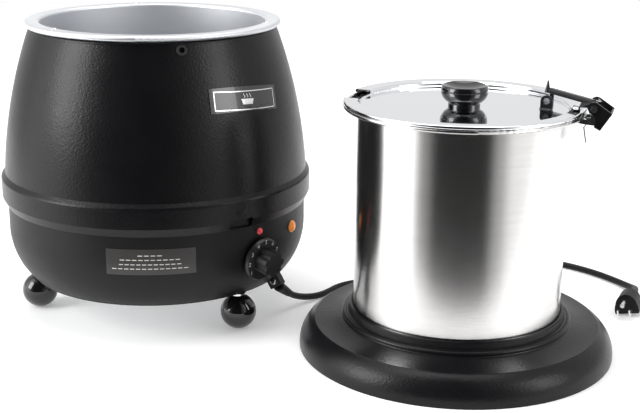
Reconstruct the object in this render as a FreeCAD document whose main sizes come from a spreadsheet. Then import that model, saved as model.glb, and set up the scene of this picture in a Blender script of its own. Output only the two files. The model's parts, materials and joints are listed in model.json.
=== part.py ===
import FreeCAD, Part
import math
import os
import Sketcher

# Electric soup kettle with its inset pot, hinged lid and adaptor collar.
# Millimetres. Origin on the kettle's upright axis at the table; +Z up, +X towards the pot, -Y to the front.

Vector = FreeCAD.Vector
UP = Vector(0, 0, 1)

doc = FreeCAD.newDocument("SoupKettle")
sheet = doc.addObject("Spreadsheet::Sheet", "Sizes")

SIZES = {
    # kettle shells
    "shell_sheet": 1.0,
    "bead_radius": 169.4,
    "bead_low": 122,
    "bead_high": 156.5,
    "shell_low_radius": 165.3,
    "shell_top_radius": 133.2,
    "shell_top": 312.2,
    "shell_curve": 544,
    "vent_radius": 4.4,
    "bowl_sheet": 1.2,
    "bowl_radius": 163.6,
    "bowl_curve": 76,
    "bowl_bend": 95,
    "bowl_base": 40,
    "bowl_mouth": 112,
    # water well
    "well_sheet": 1.2,
    "well_radius": 121,
    "well_floor": 95,
    "well_top": 318.5,
    "well_bead": 3,
    "well_rim_radius": 136.6,
    # heater
    "element_ring": 55,
    "element_tube": 4,
    "clamp_radius": 64,
    # feet
    "foot_ball": 19.3,
    "foot_height": 38,
    "foot_circle": 134.8,
    "stud_radius": 2.5,
    # thermostat and lamps
    "dial_radius": 23,
    "dial_thickness": 4,
    "grip_radius": 13.6,
    "grip_length": 16,
    "shaft_radius": 2.95,
    "red_lamp_radius": 3.6,
    "amber_lamp_radius": 6.4,
    # pot and lid
    "pot_x": 327.6,
    "pot_y": -123.5,
    "pot_sheet": 0.8,
    "pot_radius": 106.3,
    "pot_rim_radius": 120.1,
    "pot_top": 254.2,
    "rim_bead": 1.9,
    "lid_sheet": 0.8,
    "lid_disc": 253,
    "lid_wall": 104.4,
    "lid_knob_radius": 23.5,
    "lid_knob_height": 20.8,
    # lid hinge
    "pivot_reach": 127.4,
    "pivot_height": 261.5,
    "cheek_gap": 27.4,
    "cheek_sheet": 1.6,
    # collar
    "collar_sheet": 1.5,
    "collar_bore": 107.2,
    "collar_radius": 161.7,
    "collar_top": 46,
    "collar_ridge": 28.4,
    "ridge_radius": 147,
    # supply cord
    "gland_width": 15.3,
    "gland_depth": 9,
    "cord_radius": 3.7,
    "coil_radius": 42,
}
for row, (alias, number) in enumerate(SIZES.items(), start=1):
    sheet.set("A%d" % row, alias)
    sheet.set("B%d" % row, str(number))
    sheet.setAlias("B%d" % row, alias)
doc.recompute()

nodes = {}


def dim(expression):
    """The number that an expression on the sheet's aliases has now."""
    return float(sheet.evalExpression(expression))


def bind(thing, **expressions):
    """Tie properties of an object to expressions on the sheet's aliases."""
    for name, expression in expressions.items():
        thing.setExpression(name, on_sheet(expression))


def on_sheet(expression):
    """The same expression as another object must write it, with the sheet's name before each alias."""
    words = []
    word = ""
    for character in expression + " ":
        if character.isalnum() or character == "_":
            word += character
            continue
        words.append("Sizes." + word if word in SIZES else word)
        words.append(character)
        word = ""
    return "".join(words).strip()


def keep(name, thing):
    """File an object as the node of that name."""
    thing.Label = name
    nodes[name] = thing
    return thing


def about_z(angle):
    return FreeCAD.Rotation(UP, angle)


def polar(radius, azimuth, height):
    turn = math.radians(azimuth)
    return Vector(radius * math.cos(turn), radius * math.sin(turn), height)


def outward(azimuth, radius, height, tilt=0):
    """Placement whose own Z leaves the kettle's side, turned down by the tilt."""
    facing = about_z(azimuth).multiply(FreeCAD.Rotation(Vector(0, 1, 0), 90 + tilt))
    return FreeCAD.Placement(polar(radius, azimuth, height), facing)


POT_AXIS = FreeCAD.Placement(Vector(dim("pot_x"), dim("pot_y"), 0), FreeCAD.Rotation())
HINGE_AZIMUTH = -15.1
NOTCH_AZIMUTH = 165
HINGE = FreeCAD.Placement(POT_AXIS.Base, about_z(HINGE_AZIMUTH))


# --- building blocks ---------------------------------------------------------------------------------------


def arc_middle(start, end, radius, side):
    """Middle point of the shorter arc from start to end; side 1 bulges to the left of the way along."""
    chord = end.sub(start)
    half = chord.Length / 2
    left = Vector(-chord.y, chord.x, 0).normalize()
    sagitta = radius - math.sqrt(max(radius * radius - half * half, 0))
    return start.add(chord.multiply(0.5)).add(left.multiply(side * sagitta))


def outline_sketch(body, plane, outline):
    """Closed sketch. Each corner is (x, y) or (x, y, radius, side), whose run to the next is an arc."""
    sketch = body.newObject("Sketcher::SketchObject", "Outline")
    origin_plane = [face for face in body.Origin.OriginFeatures if face.Role == plane][0]
    sketch.AttachmentSupport = [(origin_plane, "")]
    sketch.MapMode = "FlatFace"
    places = [Vector(dim(corner[0]), dim(corner[1]), 0) for corner in outline]
    for index, corner in enumerate(outline):
        start = places[index]
        end = places[(index + 1) % len(places)]
        if len(corner) == 2:
            sketch.addGeometry(Part.LineSegment(start, end), False)
        else:
            middle = arc_middle(start, end, dim(corner[2]), corner[3])
            sketch.addGeometry(Part.Arc(start, middle, end), False)
    pin_outline(sketch, outline)
    return sketch


def first_end(sketch, index, place):
    """Which end of an edge of the sketch is its start on the way round: 1 or 2."""
    return 1 if sketch.getPoint(index, 1).sub(place).Length < 1e-6 else 2


def pin_outline(sketch, outline):
    """Join the sketch's edges end to end and tie each corner and arc to the sheet."""
    ends = [first_end(sketch, index, Vector(dim(corner[0]), dim(corner[1]), 0))
            for index, corner in enumerate(outline)]
    for index, corner in enumerate(outline):
        following = (index + 1) % len(outline)
        sketch.addConstraint(Sketcher.Constraint("Coincident", index, 3 - ends[index], following, ends[following]))
    for index, corner in enumerate(outline):
        for kind, axis, expression in (("DistanceX", -2, corner[0]), ("DistanceY", -1, corner[1])):
            if dim(expression) == 0:
                sketch.addConstraint(Sketcher.Constraint("PointOnObject", index, ends[index], axis))
                continue
            number = sketch.addConstraint(
                Sketcher.Constraint(kind, -1, 1, index, ends[index], dim(expression)))
            sketch.setExpression("Constraints[%d]" % number, on_sheet(expression))
        if len(corner) > 2:
            number = sketch.addConstraint(Sketcher.Constraint("Radius", index, dim(corner[2])))
            sketch.setExpression("Constraints[%d]" % number, on_sheet(corner[2]))


def turned(name, outline, placement=None):
    """A body turned about its own Z from an outline of (radius, height) corners."""
    body = doc.addObject("PartDesign::Body", name + "_body")
    sketch = outline_sketch(body, "XZ_Plane", outline)
    turning = body.newObject("PartDesign::Revolution", "Turning")
    turning.Profile = sketch
    turning.ReferenceAxis = (sketch, ["V_Axis"])
    turning.Angle = 360
    if placement:
        body.Placement = placement
    return body


def padded(name, outline, thickness, placement=None):
    """A body raised from an outline in its own XY plane."""
    body = doc.addObject("PartDesign::Body", name + "_body")
    sketch = outline_sketch(body, "XY_Plane", outline)
    pad = body.newObject("PartDesign::Pad", "Pad")
    pad.Profile = sketch
    bind(pad, Length=thickness)
    if placement:
        body.Placement = placement
    return body


def cylinder(radius, height, place, turn=None):
    rod = doc.addObject("Part::Cylinder", "Rod")
    bind(rod, Radius=radius, Height=height)
    rod.Placement = FreeCAD.Placement(place, turn or FreeCAD.Rotation())
    return rod


def block(length, width, height, placement):
    """A box centred on its placement in X and Y, standing on its Z = 0."""
    box = doc.addObject("Part::Box", "Block")
    bind(box, Length=length, Width=width, Height=height)
    box.Placement = placement.multiply(FreeCAD.Placement(Vector(-dim(length) / 2, -dim(width) / 2, 0),
                                                         FreeCAD.Rotation()))
    return box


def hexagon(radius, height, place, angle=0):
    nut = doc.addObject("Part::Prism", "Hexagon")
    nut.Polygon = 6
    bind(nut, Circumradius=radius, Height=height)
    nut.Placement = FreeCAD.Placement(place, about_z(angle))
    return nut


def cut(base, tool):
    result = doc.addObject("Part::Cut", "Cut")
    result.Base = base
    result.Tool = tool
    return result


def common(base, tool):
    result = doc.addObject("Part::Common", "Common")
    result.Base = base
    result.Tool = tool
    return result


def fused(*pieces):
    result = doc.addObject("Part::MultiFuse", "Fused")
    result.Shapes = list(pieces)
    return result


def group(*pieces):
    """Identical pieces that stay separate solids in one node."""
    result = doc.addObject("Part::Compound", "Group")
    result.Links = list(pieces)
    return result


def route_path(points):
    """Straight runs joined by tangent arcs, as wide as the runs beside each point allow."""
    places = [Vector(*point) for point in points]
    edges = []
    radii = []
    last = places[0]
    for before, corner, after in zip(places, places[1:], places[2:]):
        back = before.sub(corner)
        ahead = after.sub(corner)
        half_turn = (math.pi - back.getAngle(ahead)) / 2
        reach = 0.45 * min(back.Length, ahead.Length)
        radii.append(reach / math.tan(half_turn))
        start = corner.add(back.normalize().multiply(reach))
        end = corner.add(ahead.normalize().multiply(reach))
        inward = start.add(end).multiply(0.5).sub(corner).normalize()
        middle = corner.add(inward.multiply(radii[-1] * (1 / math.cos(half_turn) - 1)))
        edges.append(Part.LineSegment(last, start).toShape())
        edges.append(Part.Arc(start, middle, end).toShape())
        last = end
    edges.append(Part.LineSegment(last, places[-1]).toShape())
    return Part.Wire(edges), radii


def tube(name, points, radius):
    """Round tube along a route; says its length and bend radii and checks its volume."""
    path, radii = route_path(points)
    start = Vector(*points[0])
    section = Part.Wire(Part.Circle(start, Vector(*points[1]).sub(start), radius).toShape())
    solid = path.makePipeShell([section], True, False, 2)
    expected = math.pi * radius * radius * path.Length
    print("%s: length %.0f, volume/expected %.4f, radii %s"
          % (name, path.Length, solid.Volume / expected, [round(bend) for bend in radii]))
    piece = doc.addObject("Part::Feature", name)
    piece.Shape = solid
    return piece


# --- kettle: shells ----------------------------------------------------------------------------------------

VENT_AZIMUTH = -69.1
VENT_HEIGHT = 303.9
BADGE_AZIMUTH = -43.2
RATING_AZIMUTH = -83.8
DIAL_AZIMUTH = -41.2
DIAL_TILT = 8
DIAL_PLACE = outward(DIAL_AZIMUTH, 162.9, 84, DIAL_TILT)
RED_LAMP = outward(-41.6, dim("bowl_radius"), 113.7)
AMBER_LAMP = outward(-21.2, dim("bowl_radius"), 104.6)
FEET_AZIMUTHS = (196.8, 316.8, 76.8)
GLAND_PLACE = outward(-22.2, 139.4, 52.1, 59)
GLAND_SCREW = GLAND_PLACE.multiply(FreeCAD.Placement(
    Vector(0, -dim("gland_depth") / 2, 12.8), FreeCAD.Rotation(Vector(1, 0, 0), 90)))
BADGE_HEIGHT = 252.2
BADGE_TILT = -4


def shell_skin(offset):
    """Corners of the upper shell's face from its top down, moved out by an offset."""
    return [
        ("shell_top_radius + %s" % offset, "shell_top - 3.5", "shell_curve", 1),
        ("shell_low_radius + %s" % offset, "bead_high"),
        ("bead_radius - 1 + %s" % offset, "bead_high - 3.6", "4", 1),
        ("bead_radius + %s" % offset, "bead_high - 7"),
        ("bead_radius + %s" % offset, "bead_low + 9"),
        ("bowl_radius + 1.4 + %s" % offset, "bead_low"),
    ]


def back_of(corners):
    """The same run of corners walked the other way, its arcs kept."""
    back = []
    for index in range(len(corners) - 1, -1, -1):
        arc = corners[index - 1][2:] if index > 0 else ()
        place = corners[index][:2]
        back.append(place + ((arc[0], -arc[1]) if arc else ()))
    return back


def make_upper_shell():
    outside = [("125", "shell_top"), ("shell_top_radius - 2.2", "shell_top", "4", 1)] + shell_skin("0")
    inside = back_of(shell_skin("-shell_sheet"))
    lip = [("shell_top_radius - 3.2", "shell_top - shell_sheet"), ("125", "shell_top - shell_sheet")]
    shell = turned("upper_shell", outside + inside + lip)
    vent = outward(VENT_AZIMUTH, 120, VENT_HEIGHT)
    drilled = cut(shell, cylinder("vent_radius", "30", vent.Base, vent.Rotation))
    slot = block("9", "27", "12", outward(-50.8, 162, 128.2))
    keep("upper_shell", cut(drilled, slot))


def make_lower_bowl():
    low = "sqrt(bowl_curve^2 - (bowl_bend - bowl_base - 1.6)^2)"
    inner_low = "sqrt((bowl_curve - bowl_sheet)^2 - (bowl_bend - bowl_base - 2.6)^2)"
    outline = [
        ("bowl_radius", "150"),
        ("bowl_radius", "bowl_bend", "bowl_curve", 1),
        ("bowl_radius - bowl_curve + " + low, "bowl_base + 1.6", "2.2", 1),
        ("bowl_radius - bowl_curve + " + low + " - 1.9", "bowl_base"),
        ("bowl_mouth", "bowl_base"),
        ("bowl_mouth", "bowl_base + bowl_sheet"),
        ("bowl_radius - bowl_curve + " + inner_low + " - 1.6", "bowl_base + bowl_sheet"),
        ("bowl_radius - bowl_curve + " + inner_low, "bowl_base + 2.6", "bowl_curve - bowl_sheet", -1),
        ("bowl_radius - bowl_sheet", "bowl_bend"),
        ("bowl_radius - bowl_sheet", "150"),
    ]
    bowl = turned("lower_bowl", outline)
    tools = [cylinder("stud_radius + 0.3", "6", polar(dim("foot_circle"), azimuth, dim("bowl_base") - 2))
             for azimuth in FEET_AZIMUTHS]
    for placement, radius in ((DIAL_PLACE, "shaft_radius + 1"), (RED_LAMP, "red_lamp_radius - 0.3"),
                              (AMBER_LAMP, "amber_lamp_radius - 0.6")):
        start = placement.multVec(Vector(0, 0, -6))
        tools.append(cylinder(radius, "12", start, placement.Rotation))
    tools.append(block("gland_width + 0.3", "gland_depth + 0.3", "24", GLAND_PLACE.multiply(
        FreeCAD.Placement(Vector(0, 0, -2), FreeCAD.Rotation()))))
    keep("lower_bowl", cut(bowl, fused(*tools)))


def make_water_well():
    flange = "well_top - 2"
    bead_x = "well_rim_radius - well_bead"
    outline = [
        ("0", "well_floor"),
        ("0", "well_floor - well_sheet"),
        ("well_radius - 7", "well_floor - well_sheet", "7 + well_sheet", -1),
        ("well_radius + well_sheet", "well_floor + 7"),
        ("well_radius + well_sheet", flange),
        (bead_x + " - 2.6", flange),
        (bead_x + " - 2.6", "well_top - 2 * well_bead"),
        (bead_x, "well_top - 2 * well_bead", "well_bead", -1),
        ("well_rim_radius", "well_top - well_bead", "well_bead", -1),
        (bead_x, "well_top"),
        ("well_radius + 3", "well_top", "3", -1),
        ("well_radius", "well_top - 3"),
        ("well_radius", "well_floor + 7", "7", 1),
        ("well_radius - 7", "well_floor"),
    ]
    well = turned("water_well", outline)
    holes = [cylinder("1.6", "6", polar(127.5, azimuth, dim("well_top") - 5)) for azimuth in WELL_SCREWS]
    keep("water_well", cut(well, fused(*holes)))


WELL_SCREWS = (-12, 108, 228)
DOME_SCREW = [("0", "-6"), ("1.5", "-6"), ("1.5", "0"), ("3.2", "0"), ("3.2", "0.5", "4.4", -1),
              ("0.7", "1.6"), ("0", "1.6")]


def make_well_screws():
    top = dim("well_top")
    screws = [turned("well_screw", DOME_SCREW, FreeCAD.Placement(polar(127.5, azimuth, top), about_z(azimuth)))
              for azimuth in WELL_SCREWS]
    keep("well_screws", group(*screws))


def make_vent_grommet():
    outline = [
        ("vent_radius - 1.6", "-2"),
        ("vent_radius - 0.05", "-2"),
        ("vent_radius - 0.05", "1"),
        ("vent_radius + 1.3", "1", "1", -1),
        ("vent_radius + 0.4", "2"),
        ("vent_radius - 1.6", "2"),
    ]
    keep("vent_grommet", turned("vent_grommet", outline, outward(VENT_AZIMUTH, 134.4, VENT_HEIGHT, -17)))


def make_base_plate():
    plate = turned("base_plate", [("0", "bowl_base - 1.4"), ("125", "bowl_base - 1.4"),
                                  ("125", "bowl_base - 0.2"), ("0", "bowl_base - 0.2")])
    holes = [cylinder("1.7", "6", polar(118, azimuth, dim("bowl_base") - 4)) for azimuth in BASE_SCREWS]
    keep("base_plate", cut(plate, fused(*holes)))
    screws = []
    for azimuth in BASE_SCREWS:
        upside_down = FreeCAD.Rotation(Vector(1, 0, 0), 180)
        place = FreeCAD.Placement(polar(118, azimuth, dim("bowl_base") - 1.4), upside_down)
        screws.append(turned("base_screw", [("0", "-1.2"), ("1.6", "-1.2"), ("1.6", "0"), ("3.2", "0"),
                                            ("3.2", "0.5", "4.4", -1), ("0.7", "1.6"), ("0", "1.6")], place))
    keep("base_screws", group(*screws))


BASE_SCREWS = (30, 120, 210, 300)


def surface_plate(name, width, height, thickness, placement, skin):
    """A plate rolled to a turned surface: the part of a band of the skin that lies inside a radial block."""
    window = block(height, width, "40", placement.multiply(FreeCAD.Placement(Vector(0, 0, -20), FreeCAD.Rotation())))
    keep(name, common(turned(name + "_band", skin(thickness)), window))


def badge_band(thickness):
    """Thin band lying on the upper shell between two heights."""
    return [
        ("shell_top_radius + 0.1", "shell_top - 3.5", "shell_curve", 1),
        ("shell_low_radius + 0.1", "bead_high"),
        ("shell_low_radius + 0.1 + %s" % thickness, "bead_high", "shell_curve", -1),
        ("shell_top_radius + 0.1 + %s" % thickness, "shell_top - 3.5"),
    ]


def rating_band(thickness):
    """Thin band lying on the bowl's upright wall and the start of its curve."""
    low = "sqrt(bowl_curve^2 - (bowl_bend - 70)^2)"
    out = "0.05 + %s" % thickness
    return [
        ("bowl_radius + 0.05", "118"),
        ("bowl_radius + 0.05", "bowl_bend", "bowl_curve", 1),
        ("bowl_radius - bowl_curve + 0.05 + " + low, "70"),
        ("bowl_radius - bowl_curve + " + out + " + " + low, "70", "bowl_curve", -1),
        ("bowl_radius + " + out, "bowl_bend"),
        ("bowl_radius + " + out, "118"),
    ]


# --- kettle: inside ----------------------------------------------------------------------------------------


def make_insulation():
    keep("insulation_blanket", turned("insulation_blanket", [
        ("well_radius + well_sheet + 0.8", "112"), ("well_radius + 8.5", "112"),
        ("well_radius + 8.5", "300"), ("well_radius + well_sheet + 0.8", "300")]))


def make_heater():
    under_well = dim("well_floor - well_sheet")
    ring = doc.addObject("Part::Torus", "Ring")
    bind(ring, Radius1="element_ring", Radius2="element_tube")
    ring.Placement.Base = Vector(0, 0, under_well - dim("element_tube"))
    pins = [cylinder("2.6", "26", polar(dim("element_ring"), azimuth, under_well - 30)) for azimuth in (-50, -26)]
    keep("heating_element", fused(ring, *pins))
    under_ring = under_well - 2 * dim("element_tube")
    disc = cylinder("clamp_radius", "1.2", Vector(0, 0, under_ring - 1.2))
    openings = [cylinder("3.4", "4", polar(dim("element_ring"), azimuth, under_ring - 2)) for azimuth in (-50, -26)]
    openings.append(cylinder("3.2", "4", Vector(0, 0, under_ring - 2)))
    keep("element_clamp", cut(disc, fused(*openings)))
    keep("clamp_stud", cylinder("3", "20", Vector(0, 0, under_well - 20)))
    nut = hexagon("5.6", "4.6", Vector(0, 0, under_ring - 6))
    keep("clamp_nut", cut(nut, cylinder("3.05", "8", Vector(0, 0, under_ring - 8))))


def make_feet():
    ball = [
        ("0", "0"),
        ("sqrt(foot_ball^2 - foot_height^2 / 4)", "0", "foot_ball", -1),
        ("sqrt(foot_ball^2 - foot_height^2 / 4)", "foot_height"),
        ("stud_radius", "foot_height"),
        ("stud_radius", "foot_height - 12"),
        ("0", "foot_height - 12"),
    ]
    washer = [("stud_radius + 0.2", "foot_height"), ("8", "foot_height"),
              ("8", "bowl_base"), ("stud_radius + 0.2", "bowl_base")]
    washers = []
    studs = []
    nuts = []
    for number, azimuth in enumerate(FEET_AZIMUTHS, start=1):
        place = FreeCAD.Placement(polar(dim("foot_circle"), azimuth, 0), about_z(azimuth))
        keep("foot_%d" % number, turned("foot", ball, place))
        washers.append(turned("foot_washer", washer, place))
        studs.append(cylinder("stud_radius", "24", polar(dim("foot_circle"), azimuth, dim("foot_height") - 12)))
        above = dim("bowl_base + bowl_sheet")
        nut = hexagon("4.6", "4", polar(dim("foot_circle"), azimuth, above), azimuth + 30)
        nuts.append(cut(nut, cylinder("stud_radius + 0.05", "8", polar(dim("foot_circle"), azimuth, above - 1))))
    keep("foot_washers", group(*washers))
    keep("foot_studs", group(*studs))
    keep("foot_nuts", group(*nuts))


def make_lamp(name, radius, place):
    """Translucent lens through the wall, and the lamp's body behind it."""
    lens = [
        ("0", "-5"),
        (radius + " - 0.7", "-5"),
        (radius + " - 0.7", "0.2"),
        (radius, "0.2"),
        (radius, "1.3", radius + " * 1.25", -1),
        ("0", "1.3 + %s * 0.5" % radius),
    ]
    keep(name + "_lens", turned(name + "_lens", lens, place))
    behind = [("0", "-24"), (radius + " + 0.6", "-24"), (radius + " + 0.6", "-5.3"), ("0", "-5.3")]
    keep(name + "_body", turned(name + "_body", behind, place))


def make_dial():
    """Disc with a bevelled edge and a fluted grip, bored for the thermostat's shaft."""
    disc = [
        ("0", "2"),
        ("dial_radius", "2"),
        ("dial_radius", "3.4"),
        ("dial_radius - 1.2", "2 + dial_thickness"),
        ("0", "2 + dial_thickness"),
    ]
    grip = cylinder("grip_radius", "grip_length + 1", DIAL_PLACE.multVec(Vector(0, 0, dim("1 + dial_thickness"))),
                    DIAL_PLACE.Rotation)
    flutes = []
    for number in range(7):
        turn = math.radians(360 / 7 * number + 20)
        reach = dim("grip_radius") + 1.3
        place = Vector(reach * math.cos(turn), reach * math.sin(turn), dim("2 + dial_thickness"))
        flutes.append(cylinder("4", "grip_length + 2", DIAL_PLACE.multVec(place), DIAL_PLACE.Rotation))
    fluted = cut(grip, fused(*flutes))
    knob = fused(turned("dial_disc", disc, DIAL_PLACE), fluted)
    bore = cylinder("shaft_radius + 0.02", "18", DIAL_PLACE.multVec(Vector(0, 0, 0)), DIAL_PLACE.Rotation)
    keep("dial_knob", cut(knob, bore))
    keep("thermostat_shaft", cylinder("shaft_radius", "28.5", DIAL_PLACE.multVec(Vector(0, 0, -11)),
                                      DIAL_PLACE.Rotation))


def at_dial(height, sideways=0, down=0):
    """A place on the dial's axes: its own Z is the shaft, X points down and Y to the side."""
    return DIAL_PLACE.multiply(FreeCAD.Placement(Vector(down, sideways, height), FreeCAD.Rotation()))


def make_thermostat():
    keep("thermostat_body", block("32", "34", "20", at_dial(-33)))
    plate = block("26", "48", "1.5", at_dial(-12.8))
    spacers = [cylinder("2.6", "6", at_dial(-11.4, side).Base, DIAL_PLACE.Rotation) for side in (-20, 20)]
    hole = cylinder("4", "6", at_dial(-14).Base, DIAL_PLACE.Rotation)
    keep("thermostat_bracket", cut(fused(plate, *spacers), hole))
    lying = about_z(DIAL_AZIMUTH).multiply(FreeCAD.Rotation(Vector(1, 0, 0), 90))
    bulb_height = dim("well_floor - well_sheet") - 3.1
    keep("sensing_bulb", cylinder("3", "50", polar(74, DIAL_AZIMUTH, bulb_height).add(
        about_z(DIAL_AZIMUTH).multVec(Vector(0, 25, 0))), lying))
    start = polar(74, DIAL_AZIMUTH, bulb_height).add(about_z(DIAL_AZIMUTH).multVec(Vector(0, -25.2, 0)))
    facing = about_z(DIAL_AZIMUTH)
    points = [(74, -25.2, 0), (74, -33, 0), (82, -40, -2), (95, -38, -4), (106, -28, -5), (116, -14, -5),
              (128.6, -10, -5)]
    route = [tuple(facing.multVec(Vector(x, y, bulb_height + z))) for x, y, z in points]
    route[0] = tuple(start)
    keep("capillary_tube", tube("capillary_tube", route, 1.0))


def make_wiring():
    block_place = FreeCAD.Placement(Vector(62, -36, dim("bowl_base")), about_z(-30))
    body = block("20", "40", "18", block_place)
    slots = [cylinder("2.6", "14", block_place.multVec(Vector(0, side, 8))) for side in (-12, 0, 12)]
    keep("terminal_block", cut(body, fused(*slots)))
    leads = {
        "live_lead": [(71, -58, 50), (80, -66, 52), (88, -74, 58), (91.5, -79, 68), (95.6, -83.7, 78)],
        "neutral_lead": [(50, -48, 59.6), (44, -50, 60), (38, -47, 60.6), (35.4, -42.1, 62.4)],
        "element_lead": [(49.4, -24.1, 62.4), (58, -18, 62), (74, -20, 63), (90, -36, 68), (98, -56, 75),
                         (101.6, -75.5, 80)],
        "earth_lead": [(68, -63, 46), (66, -76, 45), (58, -90, 45), (44, -101, 46)],
    }
    for name, route in leads.items():
        keep(name, tube(name, route, 1.3))
    foot = polar(118, -70, dim("bowl_base + bowl_sheet"))
    keep("earth_stud", fused(cylinder("2", "11", foot), hexagon("4.2", "3.2", foot.add(Vector(0, 0, 1.2)))))


# --- supply cord -------------------------------------------------------------------------------------------

CORD_HEIGHT = 3.9
COIL_CENTRE = Vector(354.2, 97, 0)
COIL_LAYERS = 2
PLUG_AZIMUTH = -112
PLUG_ROLL = 11
PLUG_NECK = Vector(541, 9, 12)
KETTLE_ROUTE = [
    (139, -56.6, 35), (146, -46, 25.5), (154, -31, 14.5), (167, -15, 7), (181, -1, CORD_HEIGHT),
    (193, 14, CORD_HEIGHT), (203, 32, CORD_HEIGHT), (222, 46, CORD_HEIGHT), (245, 55, CORD_HEIGHT),
    (268, 61, CORD_HEIGHT), (289, 69, CORD_HEIGHT), (302, 80, CORD_HEIGHT), (308.5, 95, CORD_HEIGHT),
]
PLUG_ROUTE = [
    (355, 142.6, CORD_HEIGHT), (376, 143.6, CORD_HEIGHT), (402, 148, CORD_HEIGHT), (430, 148, CORD_HEIGHT),
    (457, 140.5, CORD_HEIGHT), (481, 126, CORD_HEIGHT), (502, 109, CORD_HEIGHT), (521, 88, CORD_HEIGHT),
    (536, 66, CORD_HEIGHT), (546, 44, 5.5), (547.5, 25, 10.4), (541, 9, 12),
]


def make_strain_relief():
    """Clamp block through the bowl's lower corner, its screw on the side towards the front."""
    body = block("gland_width", "gland_depth", "20", GLAND_PLACE)
    entry = cylinder("cord_radius - 0.4", "12", GLAND_PLACE.multVec(Vector(0, 0, -1)), GLAND_PLACE.Rotation)
    screw_hole = cylinder("1.6", "3.6", GLAND_SCREW.multVec(Vector(0, 0, -3.5)), GLAND_SCREW.Rotation)
    keep("strain_relief", cut(body, fused(entry, screw_hole)))
    keep("gland_screw", turned("gland_screw", [
        ("0", "-3"), ("1.5", "-3"), ("1.5", "0.05"), ("3.6", "0.05"), ("3.6", "1", "3", -1), ("2.6", "1.9"),
        ("0", "1.9")], GLAND_SCREW))


def make_cord():
    radius = dim("cord_radius")
    keep("cord_from_kettle", tube("cord_from_kettle", KETTLE_ROUTE, radius))
    keep("cord_to_plug", tube("cord_to_plug", PLUG_ROUTE, radius))
    coil = [
        ("coil_radius - 2 * cord_radius", "0"),
        ("coil_radius + 2 * cord_radius", "0"),
        ("coil_radius + 2 * cord_radius", "%d * 2 * cord_radius" % COIL_LAYERS),
        ("coil_radius - 2 * cord_radius", "%d * 2 * cord_radius" % COIL_LAYERS),
    ]
    keep("cord_coil", turned("cord_coil", coil, FreeCAD.Placement(COIL_CENTRE, FreeCAD.Rotation())))


def make_plug():
    """Three-pin moulded plug lying on the table a little rolled over, its face away from the cord."""
    tilted = FreeCAD.Placement(PLUG_NECK, about_z(PLUG_AZIMUTH).multiply(FreeCAD.Rotation(Vector(1, 0, 0), PLUG_ROLL)))
    facing = tilted.multiply(FreeCAD.Placement(Vector(), FreeCAD.Rotation(Vector(0, 1, 0), 90)))
    neck = doc.addObject("Part::Cone", "Neck")
    bind(neck, Radius1="cord_radius + 1.4", Radius2="10", Height="26")
    neck.Placement = facing
    arch = [
        ("9.6", "-13"),
        ("9.6", "13", "18", -1),
        ("-1.5", "11.8", "13", -1),
        ("-12.6", "0", "13", -1),
        ("-1.5", "-11.8", "18", -1),
    ]
    body_place = facing.multiply(FreeCAD.Placement(Vector(0, 0, 22), FreeCAD.Rotation()))
    keep("plug_body", fused(neck, padded("plug", arch, "24", body_place)))
    face = facing.multiply(FreeCAD.Placement(Vector(0, 0, 46), FreeCAD.Rotation()))
    blades = [block("6.3", "1.6", "17", face.multiply(FreeCAD.Placement(Vector(3.6, side, 0), FreeCAD.Rotation())))
              for side in (-6.35, 6.35)]
    keep("plug_blades", group(*blades))
    keep("plug_ground_pin", cylinder("2.4", "20", face.multVec(Vector(-6, 0, 0)), face.Rotation))


# --- pot, lid and hinge ------------------------------------------------------------------------------------


def make_pot():
    """Straight-sided pot with a flat flange and a rolled bead round its rim."""
    bead_x = "pot_rim_radius - rim_bead"
    flange = "pot_top - 2 * rim_bead + 0.8"
    outline = [
        ("0", "0"),
        ("pot_radius - 5", "0", "5", -1),
        ("pot_radius", "5"),
        ("pot_radius", flange + " - pot_sheet"),
        (bead_x, "pot_top - 2 * rim_bead", "rim_bead", -1),
        ("pot_rim_radius", "pot_top - rim_bead", "rim_bead", -1),
        (bead_x, "pot_top"),
        (bead_x + " - 1", "pot_top - 1"),
        (bead_x + " - 1", flange),
        ("pot_radius - pot_sheet", flange),
        ("pot_radius - pot_sheet", "5", "5 - pot_sheet", 1),
        ("pot_radius - 5", "pot_sheet"),
        ("0", "pot_sheet"),
    ]
    keep("pot_body", turned("pot_body", outline, POT_AXIS))


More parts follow.
